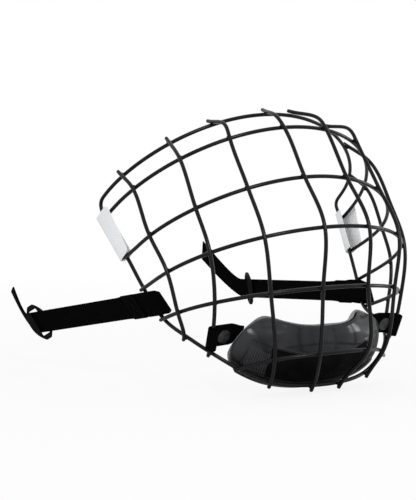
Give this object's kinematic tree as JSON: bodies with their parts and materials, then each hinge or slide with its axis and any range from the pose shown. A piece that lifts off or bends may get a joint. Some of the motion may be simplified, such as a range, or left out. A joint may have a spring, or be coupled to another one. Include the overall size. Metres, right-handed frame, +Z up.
{
  "type": "full-face wire cage",
  "caption": "Full-face wire cage for an ice hockey helmet, welded from bent round bars, with a padded chin cup slung from the bars and webbing side straps with sliders.",
  "frame": {"origin": "the middle of the brow wire, where the cage meets the front edge of the helmet", "axes": "+X to the wearer's left, +Y to the back of the head, +Z up; the wearer looks along -Y"},
  "size_m": [0.2265, 0.243, 0.1801],
  "materials": {
    "wire_coating": "black powder coat, half gloss",
    "label_sheet": "white vinyl sheet",
    "cup_plastic": "moulded, glossy dark grey",
    "cup_foam": "cloth-faced foam, mid grey",
    "band_plastic": "matte black insert",
    "snap_metal": "darkened steel",
    "webbing": "woven black webbing",
    "slider_plastic": "moulded black"
  },
  "bodies": {
    "cage": {"rim_wire": "wire_coating", "forehead_wire": "wire_coating", "eye_wire": "wire_coating", "nose_wire": "wire_coating", "mouth_wire": "wire_coating", "chin_wire": "wire_coating", "right_temple_bar": "wire_coating", "right_cheek_bar": "wire_coating", "right_eye_bar": "wire_coating", "right_nose_bar": "wire_coating", "left_nose_bar": "wire_coating", "left_eye_bar": "wire_coating", "left_cheek_bar": "wire_coating", "left_temple_bar": "wire_coating", "right_label": "label_sheet", "left_label": "label_sheet"},
    "chin_cup": {"chin_cup_shell": "cup_plastic", "chin_cup_liner": "cup_foam", "chin_cup_band": "band_plastic", "right_vent_pad": "band_plastic", "left_vent_pad": "band_plastic", "right_sling": "webbing", "left_sling": "webbing", "right_sling_snap": "snap_metal", "left_sling_snap": "snap_metal"},
    "right_side_strap": {"right_strap": "webbing", "right_strap_patch": "webbing"},
    "left_side_strap": {"left_strap": "webbing", "left_strap_patch": "webbing"},
    "right_strap_slider": {"right_slider": "slider_plastic"},
    "left_strap_slider": {"left_slider": "slider_plastic"}
  },
  "joints": [
    {"name": "chin_cup_tilt", "type": "hinge", "parent": "cage", "child": "chin_cup", "pos_m": [0, -0.03489, -0.14046], "axis": [1, 0, 0], "range_deg": [-1.5, 2.5]},
    {"name": "right_strap_swing", "type": "hinge", "parent": "cage", "child": "right_side_strap", "pos_m": [-0.08657, 0.01539, -0.1228], "axis": [-0.2504, 0.6051, 0.7558], "range_deg": [-64, 37]},
    {"name": "left_strap_swing", "type": "hinge", "parent": "cage", "child": "left_side_strap", "pos_m": [0.08657, 0.01539, -0.1228], "axis": [-0.2504, -0.6051, -0.7558], "range_deg": [-30, 71]},
    {"name": "right_slider_slide", "type": "slide", "parent": "right_side_strap", "child": "right_strap_slider", "axis": [-0.2406, 0.9518, -0.1901], "range_m": [-0.06, 0.003]},
    {"name": "left_slider_slide", "type": "slide", "parent": "left_side_strap", "child": "left_strap_slider", "axis": [-0.2461, 0.9683, -0.0421], "range_m": [-0.06, 0.003]}
  ]
}
